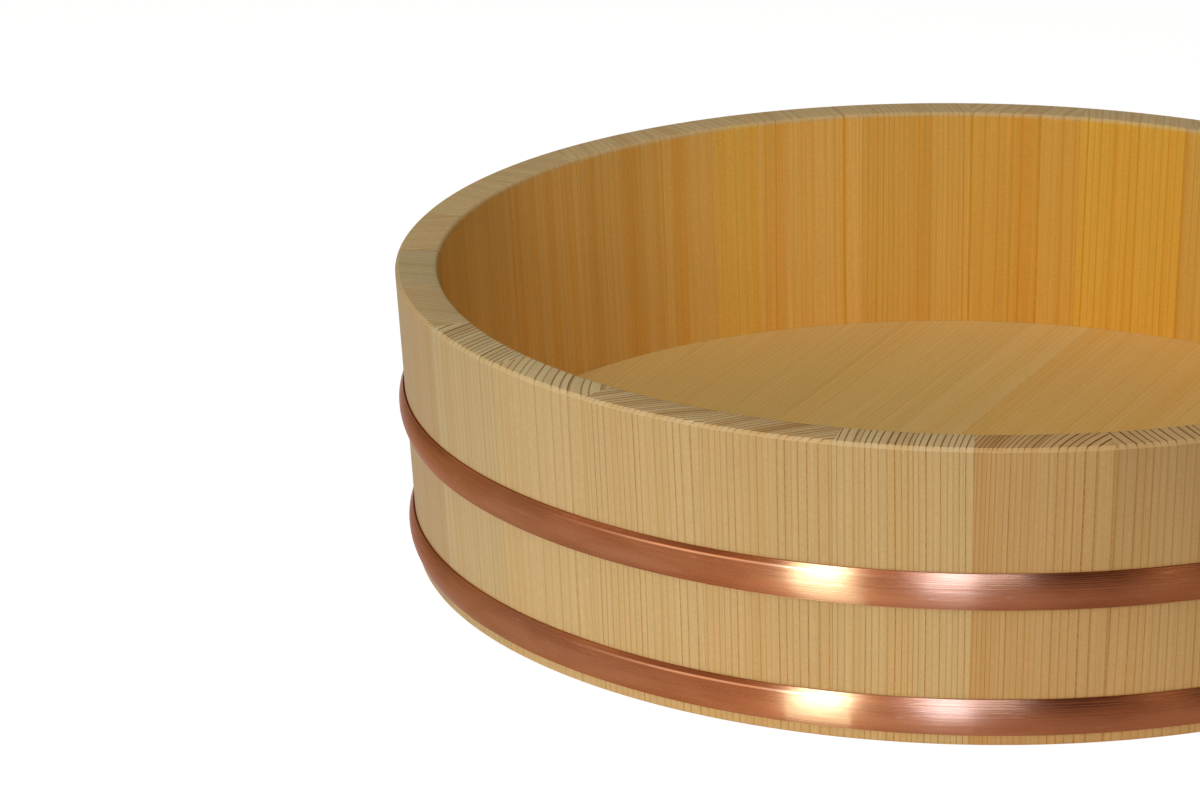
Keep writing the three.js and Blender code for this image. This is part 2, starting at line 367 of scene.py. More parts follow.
bamboo = {
    "pale": "#d9c48e",
    "strand": "#b79a5e",
    "strandWidth": 0.6,        # mm
    "strandLength": 30.0,      # mm
    "strandNoise": (0.45, 0.65),
    "roughness": 0.5,
}


def splitBamboo(name, look, grainAngle):
    # Split bamboo, shaved round: straight darker strands along the dowel, with a slight gloss.
    material, tree = newMaterial(name)
    shade = shadesOf(look)
    place = addNode(tree, "ShaderNodeTexCoord")
    turned = addNode(tree, "ShaderNodeMapping", {"Rotation": (0, 0, -grainAngle)},
                     {"Vector": place.outputs["Object"]})
    strandStep = 1 / (look["strandWidth"] * mm)
    stretched = addNode(tree, "ShaderNodeVectorMath",
                        {1: (strandStep, 1 / (look["strandLength"] * mm), strandStep)}, {0: turned},
                        **times)
    strands = addNode(tree, "ShaderNodeTexNoise", {"Scale": 1.0, "Detail": 2.0}, {"Vector": stretched})
    share = addNode(tree, "ShaderNodeMapRange", span("From", look["strandNoise"]), {"Value": strands})
    colour = addNode(tree, "ShaderNodeMix", {mixA: shade["pale"], mixB: shade["strand"]},
                     {mixFactor: share}, **inColour)
    shader = addNode(tree, "ShaderNodeBsdfPrincipled", {"Roughness": look["roughness"], "IOR": 1.5},
                     {"Base Color": colour})
    addNode(tree, "ShaderNodeOutputMaterial", links={"Surface": shader})
    return material


# Meshes

def makePiece(name, points, faces, material, node, sharpDegrees=40):
    # A mesh from an array of points and lists of corner numbers, which stands for one solid
    mesh = bpy.data.meshes.new(name)
    mesh.from_pydata(points.reshape(-1, 3).tolist(), [], faces)
    mesh.polygons.foreach_set("use_smooth", np.ones(len(mesh.polygons), bool))
    mesh.set_sharp_from_angle(angle=math.radians(sharpDegrees))
    mesh.materials.append(material)
    piece = bpy.data.objects.new(name, mesh)
    bpy.context.scene.collection.objects.link(piece)
    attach(piece, body)
    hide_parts(node)
    return piece


def addColours(piece, name, colours):
    attribute = piece.data.attributes.new(name, "FLOAT_COLOR", "POINT")
    attribute.data.foreach_set("color", colours.astype(np.float32).ravel())


def loftFaces(columns, rows, closedColumns=False):
    # Quads between neighbouring columns of a grid whose rows close on themselves
    column = np.arange(columns if closedColumns else columns - 1)[:, None]
    row = np.arange(rows)[None, :]
    here = column * rows
    there = (column + 1) % columns * rows
    nextRow = (row + 1) % rows
    corners = [here + row, there + row, there + nextRow, here + nextRow]
    return np.stack(corners, -1).reshape(-1, 4).tolist()


def softCorners(corners, before, after, steps):
    # Each corner of a closed outline becomes a quadratic curve from a point short of the corner
    # to a point past it: (1-t)^2 start + 2t(1-t) corner + t^2 end
    back = np.roll(corners, 1, 0) - corners
    ahead = np.roll(corners, -1, 0) - corners
    start = corners + back / np.linalg.norm(back, axis=1)[:, None] * before[:, None]
    end = corners + ahead / np.linalg.norm(ahead, axis=1)[:, None] * after[:, None]
    t = np.linspace(0, 1, steps + 1)[None, :, None]
    curve = (1 - t) ** 2 * start[:, None] + 2 * t * (1 - t) * corners[:, None] + t ** 2 * end[:, None]
    return curve.reshape(-1, 2)


def drawIn(outline, amount):
    # A closed outline that runs anticlockwise, moved in along its own normals
    along = np.roll(outline, -1, 0) - np.roll(outline, 1, 0)
    outward = np.stack([along[:, 1], -along[:, 0]], -1)
    return outline - outward / np.linalg.norm(outward, axis=1)[:, None] * amount


def roundTub(radius, angle, height):
    # The point at a radius, angle and height, with angle 0 at the front
    return np.stack(np.broadcast_arrays(radius * np.sin(angle), -radius * np.cos(angle), height), -1)


# A board's own tint, and what chance gives it

chanceSeed = 41
lightStep = 0.03                            # one step lighter
warmStep = np.array([0.01, -0.03, -0.07])   # one step warmer, in red, green and blue


def boardTint(light, warm):
    return 1 + lightStep * light + warmStep * warm


def drawBetween(ranges, chance):
    low, high = np.transpose(list(ranges.values()))
    return dict(zip(ranges, chance.uniform(low, high)))


# Wall

wall = {
    "staves": 28,
    "firstJoint": math.radians(0.5),
    "rimRadius": 180 * mm,
    "height": cadBox[1][2],
    "taper": 0.0656,           # radius lost for each unit down the wall
    "thickness": 13.2 * mm,
    "rimChamfer": 1.1 * mm,
    "rimRoundWidth": 1.2 * mm,
    "rimRoundDepth": 1.6 * mm,
    "footSoftening": 1.0 * mm,
    "arris": 0.18 * mm,        # radius that a plane leaves on the chamfer's edges
    "jointArris": 0.1 * mm,    # how far a stave's own edges are eased at a joint
    "jointGap": 0.01 * mm,
    "crozeDepth": 4 * mm,
    "seatGap": 0.03 * mm,      # between the floor and the groove that holds it
    "insideTint": (1.16, 0.95, 0.36),   # the inner face is the golden heart side of each stave
    "insideFrom": 0.95,        # share of the rounded inner rim edge that is not golden
    "insideLines": 1.15,
    "insideBands": 0.75,
    "bands": 0.3,
    "stain": 0.3,
    "paintedChamferHighlight": (1.05, 1.1, 1.26),   # painted highlight: the chamfer drawn paler, as the light from above falls on it
    "chamferLines": 0.4,
    "foot": 0.15,              # painted bounce light: how much paler the outer face gets from the rim down to the foot
    "paintedBounceMiddle": 0.55,        # the height, as a share of the wall's, at which the painted bounce light leaves the face as it is
    "arcSteps": 12,
    "curveSteps": 4,
}
floorLow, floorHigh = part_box("floor_board_1")

# Year rings of the staves. lean is the rings' sideways run for each unit outwards across the rim,
# pith the distance to the tree's centre, and ring their spacing, in mm. spread says how much closer
# the rings get over spreadOver away from the pith, lines and ends how dark their lines are on the
# faces and on the rim, sap how far past the stave's middle the sapwood starts, in mm, stain how
# stained the rim is, gold how golden the inner face is and inner how much lighter it is drawn, partly
# the stave's own tone and partly painted fill light on the shaded side, foot how strong the painted
# bounce light is that makes the outer face paler downwards, and warm and light the stave's own tint.
# seed tells boards apart.
noSap = 1000
spreadOver = 20                # mm
ringChance = {"lean": (-0.9, 0.9), "pith": (80, 220), "ring": (1.6, 2.6), "spread": (-0.1, 0.2),
              "lines": (0.4, 0.8), "sap": (-30, 40)}
faceChance = {"gold": (0.7, 1.05), "ends": (0.3, 0.6), "seed": (0, 500)}

# The staves that the photo shows
staveGrain = {
    "stave_23": dict(lean=-0.6, pith=120, ring=1.6, spread=0.1, lines=0.3, ends=0.8,
                     warm=0.0, light=-2.7),
    "stave_24": dict(lean=0.5, pith=110, ring=2.1, spread=-0.2, lines=0.45, ends=1.2, stain=0.6,
                     warm=-1.8, light=0.2),
    "stave_25": dict(lean=0.8, pith=83, ring=2.8, spread=0.2, lines=0.45, ends=0.9,
                     warm=-1.0, light=1.2),
    "stave_26": dict(lean=-0.75, pith=110, ring=1.8, spread=0.1, lines=0.8, ends=1.2, stain=0.9,
                     warm=-0.4, light=0.4),
    "stave_27": dict(lean=-0.85, pith=140, ring=1.7, lines=0.65, ends=1.2, stain=0.85,
                     warm=0.5, light=0.0),
    "stave_28": dict(lean=-0.03, pith=260, ring=1.9, lines=0.9, ends=1.3,
                     warm=0.0, light=0.2),
    "stave_01": dict(lean=-0.55, pith=70, ring=1.75, spread=0.6, lines=0.75, ends=1.5, stain=0.6,
                     warm=2.8, light=-2.4),
    "stave_02": dict(lean=0.1, pith=200, ring=2.5, lines=0.6, ends=1.3, stain=0.2, foot=0.35,
                     warm=2.6, light=-3.2),
    # inner is partly each stave's own tone and partly painted fill light on the shaded inner wall
    "stave_13": dict(lean=0.3, pith=130, ring=2.6, lines=0.8, ends=0.3, sap=-30, gold=0.95, inner=-0.6,
                     warm=0.4),
    "stave_14": dict(lean=-0.3, pith=150, ring=4.2, lines=0.7, ends=0.3, gold=0.95, inner=-0.2,
                     warm=0.4, light=0.0),
    "stave_15": dict(lean=0.2, pith=180, ring=1.8, lines=0.8, ends=0.3, gold=0.82, inner=0.9,
                     warm=0.0, light=0.0),
    "stave_16": dict(lean=0.05, pith=160, ring=4.0, lines=0.6, ends=0.3, gold=0.7, inner=3.6,
                     warm=0.3, light=0.8),
    "stave_17": dict(lean=0.1, pith=150, ring=3.0, lines=0.3, ends=0.3, sap=2, gold=0.66, inner=2.4,
                     warm=0.3, light=1.0),
    "stave_18": dict(lean=-0.4, pith=140, ring=2.8, lines=0.4, ends=0.3, gold=0.64, inner=1.2,
                     warm=0.3, light=0.6),
    "stave_19": dict(lean=0.3, pith=170, ring=2.4, lines=0.4, ends=0.3, gold=0.56, inner=5.0,
                     warm=0.3, light=0.5),
    "stave_20": dict(lean=-0.2, pith=160, ring=2.2, lines=0.4, ends=0.25, gold=0.57, inner=4.0,
                     warm=0.3, light=0.5),
    "stave_21": dict(lean=0.4, pith=130, ring=2.1, lines=0.4, ends=0.4, gold=0.58, inner=4.0,
                     warm=0.5, light=0.0),
    "stave_22": dict(lean=-0.3, pith=150, ring=1.8, lines=0.3, ends=0.5, gold=0.6, inner=4.0,
                     warm=-1.2, light=-4.5),
}


def outerRadius(height):
    return wall["rimRadius"] - wall["taper"] * (wall["height"] - wall["rimChamfer"] - height)


def innerRadius(height):
    return outerRadius(height) - wall["thickness"]


def staveSection():
    # (radius, height) anticlockwise: up the outside, over the rim, down the inside and the croze
    top = wall["height"]
    crozeRadius = innerRadius(floorHigh.z) + wall["crozeDepth"]
    crozeTop = floorHigh.z + wall["seatGap"]
    crozeFoot = floorLow.z - wall["seatGap"]
    corners = np.array([
        (outerRadius(0), 0),
        (wall["rimRadius"], top - wall["rimChamfer"]),
        (wall["rimRadius"] - wall["rimChamfer"], top),
        (innerRadius(top), top),
        (innerRadius(crozeTop), crozeTop),
        (crozeRadius, crozeTop),
        (crozeRadius, crozeFoot),
        (innerRadius(crozeFoot), crozeFoot),
        (innerRadius(0), 0),
    ])
    arris = wall["arris"]
    foot = wall["footSoftening"]
    seat = wall["seatGap"]
    before = np.array([foot, arris, arris, wall["rimRoundWidth"], seat, arris, arris, arris, foot])
    after = np.array([foot, arris, arris, wall["rimRoundDepth"], seat, arris, arris, arris, foot])
    return softCorners(corners, before, after, wall["curveSteps"])


def grainOf(name, chance):
    # Every stave draws the same numbers, and what the photo shows takes their place
    grain = drawBetween(ringChance, chance)
    grain["light"], grain["warm"] = chance.normal(0, 1, 2)
    grain |= drawBetween(faceChance, chance)
    grain |= {"inner": 0, "stain": wall["stain"], "foot": wall["foot"]}
    if name in staveGrain:
        grain |= {"sap": noSap, "spread": 0} | staveGrain[name]
    return grain


def buildStave(name, index, material, chance):
    # The section goes round the stave's own arc, and at either joint it is drawn in a little
    half = math.pi / wall["staves"]
    centre = wall["firstJoint"] + (2 * index + 1) * half
    full = staveSection()
    eased = drawIn(full, wall["jointArris"])
    end = half - wall["jointGap"] / wall["rimRadius"]
    easedEnd = end - wall["jointArris"] / wall["rimRadius"]
    turn = np.linspace(-easedEnd, easedEnd, wall["arcSteps"] + 1)
    turn = np.concatenate([[-end], turn, [end]])[:, None]
    sections = np.stack([eased] + [full] * (wall["arcSteps"] + 1) + [eased])
    radius, height = sections[..., 0], sections[..., 1]
    points = roundTub(radius, centre + turn, height)
    columns, rows = radius.shape
    faces = loftFaces(columns, rows)
    faces.append(list(range(rows)))
    faces.append(list(range(columns * rows - 1, (columns - 1) * rows - 1, -1)))
    piece = makePiece(name.replace("_", ""), points, faces, material, name)
    paintStave(piece, grainOf(name, chance), radius, turn, height)


def paintStave(piece, grain, radius, turn, height):
    # The faces that differ, each found by where its points lie
    top = wall["height"]
    depth = outerRadius(height) - radius
    outside = depth < wall["footSoftening"] + wall["jointArris"]
    inside = (depth > wall["thickness"] - wall["arris"]) & (height > floorHigh.z)
    inside &= height < top - wall["insideFrom"] * wall["rimRoundDepth"]
    onChamfer = (height > top - wall["rimChamfer"]) & (radius > wall["rimRadius"] - wall["rimChamfer"])
    onEnds = (height > top - wall["arris"]) | (height < wall["arris"])

    # The tree's frame: sideways and outwards across the stave, and up it along the flare
    lean, pith = grain["lean"], grain["pith"]
    toPith = np.array([1, -lean]) / math.hypot(1, lean) * pith
    sideways = radius * np.sin(turn) / mm - toPith[0]
    outwards = (radius * np.cos(turn) - outerRadius(height) + wall["thickness"] / 2) / mm - toPith[1]
    addColours(piece, "treePlace", np.stack([sideways, outwards, height / mm, inside], -1))
    density = 1 / grain["ring"]
    trend = density * grain["spread"] / (2 * spreadOver)
    growth = [density - 2 * trend * pith, trend, grain["seed"], pith + grain["sap"]]
    addColours(piece, "growth", np.tile(growth, (radius.size, 1)))

    # Its tint and the strength of its lines and bands
    golden = 1 + grain["gold"] * (np.array(wall["insideTint"]) - 1)
    # inner draws the inner face lighter, partly the stave's own tone and partly painted fill light on the
    # shaded side
    golden = golden * (1 + lightStep * grain["inner"])
    # The inner face takes its golden tint, and the chamfer a painted highlight
    faceTint = np.select([inside[..., None], onChamfer[..., None]],
                         [golden, np.array(wall["paintedChamferHighlight"])], 1)
    # Painted bounce light from the floor: the outer face paler towards the foot and darker towards the
    # rim
    paler = 1 + grain["foot"] * (wall["paintedBounceMiddle"] - height / top) * outside
    tint = boardTint(grain["light"], grain["warm"]) * faceTint * paler[..., None]
    insideLines = grain["lines"] * wall["insideLines"]
    chamferLines = grain["lines"] * wall["chamferLines"]
    lines = np.select([inside, onEnds, onChamfer], [insideLines, grain["ends"], chamferLines],
                      grain["lines"])
    addColours(piece, "tone", np.concatenate([tint, lines[..., None]], -1))
    bands = np.select([inside, onEnds], [wall["insideBands"], grain["stain"]], wall["bands"])
    up = np.broadcast_to([0, 0, 1], (*radius.shape, 3))
    addColours(piece, "grainWay", np.concatenate([up, bands[..., None]], -1))


# Hoops

hoop = {
    "crown": 2.1 * mm,         # dome's height off the wall
    "edge": 0.4 * mm,          # thickness at the upper and lower edge
    "sheet": 0.8 * mm,
    "lip": 0.2 * mm,           # how far the sheet's edges are rounded
    "backGap": 0.02 * mm,
    "columns": 28 * 14,        # 14 to a stave
    "domeSteps": 108,
    "backSteps": 27,
    "lipSteps": 3,
    "sharpDegrees": 60,
    "mapStart": 500,           # mm
    "waver": 0.03 * mm,        # what driving the hoop on leaves in it
    "waves": (3, 40),          # in one turn: 3, 4 and so on to 39
    "dieLines": 16,            # fine ridges and grooves that drawing left along the strip
    "dieLineDepth": 0.012 * mm,
    "dieLineWidth": 0.22 * mm,
    "dieLineReach": 0.9,       # share of the strip's width that has them
    "ridge": 0.72,             # one clear ridge, as a share of the way up from the middle
    "ridgeHeight": 0.1 * mm,
    "ridgeWidth": 0.26 * mm,
    "ridgeAt": math.radians(-26),       # where round the tub it is clearest
    "ridgeReach": math.radians(10),
    "paintedDarkBand": 0.6,            # share of the painted shade on the strip above the ridge
    "darkBandFrom": 0.5,        # where that painted shade starts, in the ridge's widths above it
}


def hoopSection(half, chance):
    # (across, stand) from the lower edge up the front and down the hollow back. The front is an arc
    # of a circle over the band's width, with a quarter round at each edge, and each die line adds a
    # bell: depth times exp(-(distance / width)^2).
    rise = hoop["crown"] - hoop["edge"]
    bend = (half ** 2 + rise ** 2) / (2 * rise)
    lip = hoop["lip"]
    across = np.linspace(-half + lip, half - lip, hoop["domeSteps"] + 1)
    dome = hoop["edge"] + np.sqrt(bend ** 2 - across ** 2) - (bend - rise)
    lineReach = hoop["dieLineReach"] * half
    linePlace = chance.uniform(-lineReach, lineReach, hoop["dieLines"])[:, None]
    lineDepth = chance.normal(0, hoop["dieLineDepth"], hoop["dieLines"])[:, None]
    dome = dome + (lineDepth * np.exp(-((across - linePlace) / hoop["dieLineWidth"]) ** 2)).sum(0)
    lipTurn = np.linspace(0, math.pi / 2, hoop["lipSteps"] + 1)[1:]
    lipAcross = half - lip + lip * np.sin(lipTurn)
    lipStand = dome[-1] - lip + lip * np.cos(lipTurn)
    front = np.concatenate([
        np.stack([-lipAcross[::-1], lipStand[::-1]], -1),
        np.stack([across, dome], -1),
        np.stack([lipAcross, lipStand], -1),
    ])
    backPoints = slice(None, None, -hoop["domeSteps"] // hoop["backSteps"])
    hollow = np.maximum(0, dome - hoop["sheet"])
    back = np.concatenate([[(half, 0)], np.stack([across, hollow], -1)[backPoints], [(-half, 0)]])
    return front, back


def buildHoop(name, material, chance):
    # The section, set off the flaring wall, goes round the tub. Waves in radius, the quicker the
    # smaller, keep it from being perfectly round: the sum of cos(n angle + phase) / sqrt(n).
    low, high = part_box(name)
    half = (high.z - low.z) / 2
    front, back = hoopSection(half, chance)
    section = np.concatenate([front, back])
    across, stand = section.T[:, None, :]
    columns, rows = hoop["columns"], len(section)
    angle = np.linspace(0, 2 * math.pi, columns, endpoint=False)[:, None] + math.pi
    waves = np.arange(*hoop["waves"])[:, None, None]
    phases = chance.uniform(0, 2 * math.pi, len(waves))[:, None, None]
    waver = hoop["waver"] * (np.cos(waves * angle + phases) / np.sqrt(waves)).sum(0) / 2
    height = (low.z + high.z) / 2 + across + 0 * angle
    stand = stand + hoop["backGap"] + (waver + 2 * hoop["waver"]) * (stand > 0)

    # The ridge is a bell across the strip and fades as another bell along it
    fromClearest = (angle - hoop["ridgeAt"] + math.pi) % (2 * math.pi) - math.pi
    fade = np.exp(-(fromClearest / hoop["ridgeReach"]) ** 2) * (np.arange(rows) < len(front))
    acrossRidge = (across - hoop["ridge"] * half) / hoop["ridgeWidth"]
    ridge = fade * np.exp(-acrossRidge ** 2)
    # The ridge's bell also carries its painted highlight, and the painted shade above it fades with it
    paintedDarkBand = hoop["paintedDarkBand"] * fade * np.clip(acrossRidge - hoop["darkBandFrom"], 0, 1)
    points = roundTub(outerRadius(height) + stand + hoop["ridgeHeight"] * ridge, angle, height)
    faces = loftFaces(columns, rows, True)
    piece = makePiece(name.replace("_h", "H"), points, faces, material, name,
                      hoop["sharpDegrees"])
    # How much painted highlight the ridge takes, and how much painted shade lies above it
    addColours(piece, "ridgeLight", np.stack([ridge, paintedDarkBand, 0 * ridge, 0 * ridge], -1))
    addStripMap(piece, section, chance)


def addStripMap(piece, section, chance):
    # UV in mm along the strip and across it, with the last quad running on to the full length.
    # Each hoop starts somewhere else, so that their patterns differ.
    columns, rows = hoop["columns"], len(section)
    length = 2 * math.pi * wall["rimRadius"] / mm
    start = chance.uniform(0, hoop["mapStart"], 2)
    steps = np.linalg.norm(np.diff(section, axis=0, append=section[:1]), axis=1)
    reach = np.concatenate([[0], np.cumsum(steps)])
    column = np.repeat(np.arange(columns), rows)
    row = np.tile(np.arange(rows), columns)
    u = np.stack([column, column + 1, column + 1, column], -1) / columns * length
    v = np.stack([reach[row], reach[row], reach[row + 1], reach[row + 1]], -1) / mm
    layer = piece.data.uv_layers.new(name="strip")
    layer.uv.foreach_set("vector", (np.stack([u, v], -1) + start).astype(np.float32).ravel())


# Floor

boards = {
    "count": 5,
    "width": 59.4 * mm,
    "jointOffset": 18 * mm,
    "grain": math.radians(69),
    "edgeEase": 0.12 * mm,
    "tint": (1.0, 1.01, 0.8),  # the heart side lies upwards here too
    "lines": 0.28,
    "bands": 0.3,
    "warm": (1.6, 1.6, 2.4, 1.0, 1.0),
    "light": (0.0, 0.3, 0.4, -0.5, -2.0),
    "pale": (noSap, noSap, noSap, 10.7, noSap),   # where a paler strip starts, in mm past the middle
    "paleTint": (1.04, 1.05, 1.12),
    "jointGap": 0.01 * mm,
    "tip": 0.001 * mm,         # half of what is left at the very ends of the outer boards
    "edgeSteps": 40,
}
boardChance = {"pithSide": (160, 240), "pithDepth": (-30, 30), "ring": (1.6, 2.3), "seed": (0, 500)}


def buildBoard(index, material, chance):
    # A slice of a round plate between two straight joints: x runs along the grain to
    # sqrt(radius^2 - y^2) on either side, y goes from joint to joint
    radius = innerRadius(floorHigh.z) + wall["crozeDepth"] - wall["seatGap"]
    middle = (boards["count"] - 1) // 2
    jointBelow = boards["jointOffset"] + (index - 1 - middle) * boards["width"] + boards["jointGap"]
    jointAbove = boards["jointOffset"] + (index - middle) * boards["width"] - boards["jointGap"]
    low = -radius if index == 0 else jointBelow
    high = radius if index == boards["count"] - 1 else jointAbove
    swing = np.linspace(math.asin(low / radius), math.asin(high / radius), boards["edgeSteps"] + 1)
    ease = boards["edgeEase"]
    y = radius * np.sin(swing)
    y = np.concatenate([[y[0]], y[:1] + ease, y[1:-1], y[-1:] - ease, [y[-1]]])
    x = np.sqrt(np.maximum(radius ** 2 - y ** 2, boards["tip"] ** 2))
    top = np.full_like(y, floorHigh.z)
    top[[0, -1]] -= ease
    foot = np.full_like(y, floorLow.z)
    foot[[0, -1]] += ease
    loopX = np.concatenate([x, x[::-1]])
    loopY = np.concatenate([y, y[::-1]])
    loopZ = np.concatenate([foot, top[::-1]])
    side = np.array([-1, 1])[:, None]
    local = np.stack(np.broadcast_arrays(side * loopX, loopY, loopZ), -1)
    cosine, sine = math.cos(boards["grain"]), math.sin(boards["grain"])
    points = local @ np.array([[cosine, sine, 0], [-sine, cosine, 0], [0, 0, 1]])
    rows = len(loopY)
    faces = [face[::-1] for face in loftFaces(2, rows)]
    step = np.arange(len(y) - 1)
    cap = np.stack([step, step + 1, rows - 2 - step, rows - 1 - step], -1)
    faces += cap[:, ::-1].tolist() + (cap + rows).tolist()
    piece = makePiece(f"floorBoard{index + 1}", points, faces, material,
                      f"floor_board_{index + 1}")

    # The tree lies to one side of the board, with its trunk along the grain
    drawn = drawBetween(boardChance, chance)
    sideways = (local[..., 1] - (low + high) / 2) / mm - drawn["pithSide"]
    outwards = local[..., 2] / mm + drawn["pithDepth"]
    addColours(piece, "treePlace", np.stack([sideways, outwards, local[..., 0] / mm, 0 * sideways], -1))
    tint = boardTint(boards["light"][index], boards["warm"][index]) * boards["tint"]
    evenly = {
        "growth": [1 / drawn["ring"], 0, drawn["seed"], drawn["pithSide"] + boards["pale"][index]],
        "grainWay": [cosine, sine, 0, boards["bands"]],
        "tone": [*tint, boards["lines"]],
    }
    for attribute, value in evenly.items():
        addColours(piece, attribute, np.tile(value, (2 * rows, 1)))


# Studio

studio = {
    "floorSize": 12.0,
    "floorDrop": 0.05 * mm,    # below the foot
    "floorShade": "#ffffff",
    "bounce": 0.95,            # what the floor sends back to the tub
    "shadowDepth": 0.35,       # how much of the white a full shadow takes away
    "litPaper": 1 / 3,         # light that paper out of the shadow returns, at least
    "ambient": 0.04,
    "ambientTint": (1, 0.97, 0.93, 1),
    "cardLift": 0.1 * mm,      # above the ground
}

# Each softbox: where it stands as seen from the tub (degrees round from the front, degrees up,
# distance), its width and height, its light in watts and its colour. They don't shine on the
# copper, and one that names staves shines on those alone.
softboxes = {
    "keySoftbox": dict(round=-27, up=26, away=1.9, size=(0.28, 1.1), watts=11, colour="#fff2de"),
    "fillSoftbox": dict(round=-2.5, up=30, away=2.3, size=(0.6, 0.6), watts=2.5, colour="#f0f4ff"),
    "topSoftbox": dict(round=-12, up=68, away=1.6, size=(1.2, 1.2), watts=11.3, colour="#ffffff"),
    "leftSoftbox": dict(round=-90, up=20, away=1.8, size=(1.6, 1.1), watts=2.2, colour="#ffead4"),
    "backSoftbox": dict(round=150, up=4, away=2.0, size=(2.4, 0.3), watts=7, colour="#fff4e6",
                        staves=range(5, 19)),
}

# Panels that shine on the copper alone, to draw its highlights, as the softboxes shine on the rest
panels = {
    "keyPanel": dict(round=-27, up=18, away=1.88, size=(0.3, 1.1), watts=56, colour="#a4dcff"),
    "haloPanel": dict(round=-28, up=28, away=2.0, size=(1.3, 1.2), watts=1.9, colour="#ffcfa6"),
    "fillPanel": dict(round=-3, up=13, away=2.3, size=(0.34, 1.0), watts=40, colour="#80b0ff"),
    "fillGlow": dict(round=0, up=42, away=2.3, size=(0.74, 0.9), watts=36, colour="#a4c8ff"),
    "topPanel": dict(round=-60, up=55, away=1.6, size=(2.0, 0.8), watts=13.5, colour="#ffdbb9"),
    "leftPanel": dict(round=-85, up=24, away=1.8, size=(2.6, 1.4), watts=5.8, colour="#fff5ec"),
    "farLeftPanel": dict(round=-135, up=34, away=1.8, size=(1.8, 1.4), watts=2.0, colour="#ffc59f"),
    "rightPanel": dict(round=41, up=34, away=2.0, size=(0.36, 0.9), watts=2.0, colour="#fff2de"),
    "backPanel": dict(round=165, up=20, away=1.9, size=(0.5, 1.2), watts=20, colour="#c8e4ff"),
}

# Cards on the floor by the tub, which show in reflections only: the key's carries its highlight down
# to the hoops' lower edges, and the last dims the white paper on the right. Each has its sides in
# degrees round the tub, its glow at each side, one colour or one for each side, and its reach out
# from the foot. The key's card and the flag show on the copper alone.
nearFoot = (4 * mm, 250 * mm)
cards = {
    "keyCard": dict(sides=(-17.0, -10.6), glow=(5.0, 5.0), colours=["#c4ecff"], reach=nearFoot,
                    copperOnly=True),
    "farLeftCard": dict(sides=(-80, -62, -44, -26.1), glow=(1.0, 1.4, 1.35, 1.2),
                        colours=["#fff0f0", "#dae7ff", "#e6eeff", "#fff4ec"], reach=nearFoot),
    "leftCard": dict(sides=(-26, -20, -17.1), glow=(1.2, 1.5, 1.8), colours=["#fff4ec"], reach=nearFoot),
    "middleCard": dict(sides=(-10.5, -7, -3), glow=(1.5, 1.3, 1.1), colours=["#fff4ec"], reach=nearFoot),
    "shadeCard": dict(sides=(1, 5, 9, 14, 19, 30), glow=(1.0, 0.93, 0.78, 0.74, 0.78, 0.95),
                      colours=["#fff0ee"], reach=(1 * mm, 400 * mm)),
}
# A dark flag to the right of the fill, which gives the hoops their dark upper edge there
flag = {"sides": (11, 34), "away": 0.8, "heights": (0.01, 0.6), "glow": 0.14, "colour": "#ff9878"}


def buildFloorPlane():
    # A white sweep. The camera and mirror-like surfaces see it near white with a soft shadow on it,
    # and the tub is lit from it as from plain white paper.
    material, tree = newMaterial("whitePaper")
    path = addNode(tree, "ShaderNodeLightPath")
    seen = addNode(tree, "ShaderNodeMath", operation="MAXIMUM",
                   links={0: path.outputs["Is Camera Ray"], 1: path.outputs["Is Glossy Ray"]})
    seenAny = addNode(tree, "ShaderNodeMath", operation="MAXIMUM",
                      links={0: seen, 1: path.outputs["Is Transmission Ray"]})
    white = np.array(hexToLinear(studio["floorShade"])[:3])
    depth = studio["shadowDepth"]
    paper = addNode(tree, "ShaderNodeBsdfDiffuse", {"Color": (*(white * studio["bounce"]), 1)})
    shadowed = addNode(tree, "ShaderNodeBsdfDiffuse", {"Color": (*(white * depth), 1)})
    glow = addNode(tree, "ShaderNodeEmission",
                   {"Color": (*white, 1), "Strength": 1 - depth * studio["litPaper"]})
    bright = addNode(tree, "ShaderNodeAddShader", links={0: shadowed, 1: glow})
    mixed = addNode(tree, "ShaderNodeMixShader", links={0: seenAny, 1: paper, 2: bright})
    addNode(tree, "ShaderNodeOutputMaterial", links={"Surface": mixed})
    mesh = bpy.data.meshes.new("studioFloor")
    reach = studio["floorSize"]
    ways = ((-1, -1), (1, -1), (1, 1), (-1, 1))
    corners = [(x * reach, y * reach, -studio["floorDrop"]) for x, y in ways]
    mesh.from_pydata(corners, [], [(0, 1, 2, 3)])
    mesh.materials.append(material)
    plane = bpy.data.objects.new("studioFloor", mesh)
    bpy.context.scene.collection.objects.link(plane)


def addCard(name, points, glow, receivers):
    # A strip of quads between pairs of points, which glows by its glow attribute and which nothing but
    # a mirror sees
    material, tree = newMaterial(name)
    colour = addNode(tree, "ShaderNodeAttribute", attribute_name="glow")
    shine = addNode(tree, "ShaderNodeEmission", links={"Color": colour.outputs["Color"]})
    addNode(tree, "ShaderNodeOutputMaterial", links={"Surface": shine})
    pairs = 2 * np.arange(len(points) - 1)[:, None]
    mesh = bpy.data.meshes.new(name)
    mesh.from_pydata(points.reshape(-1, 3).tolist(), [], (pairs + [0, 1, 3, 2]).tolist())
    mesh.materials.append(material)
    sheet = bpy.data.objects.new(name, mesh)
    bpy.context.scene.collection.objects.link(sheet)
    addColours(sheet, "glow", np.repeat(glow, 2, axis=0))
    sheet.visible_camera = sheet.visible_diffuse = sheet.visible_shadow = False
    sheet.light_linking.receiver_collection = receivers


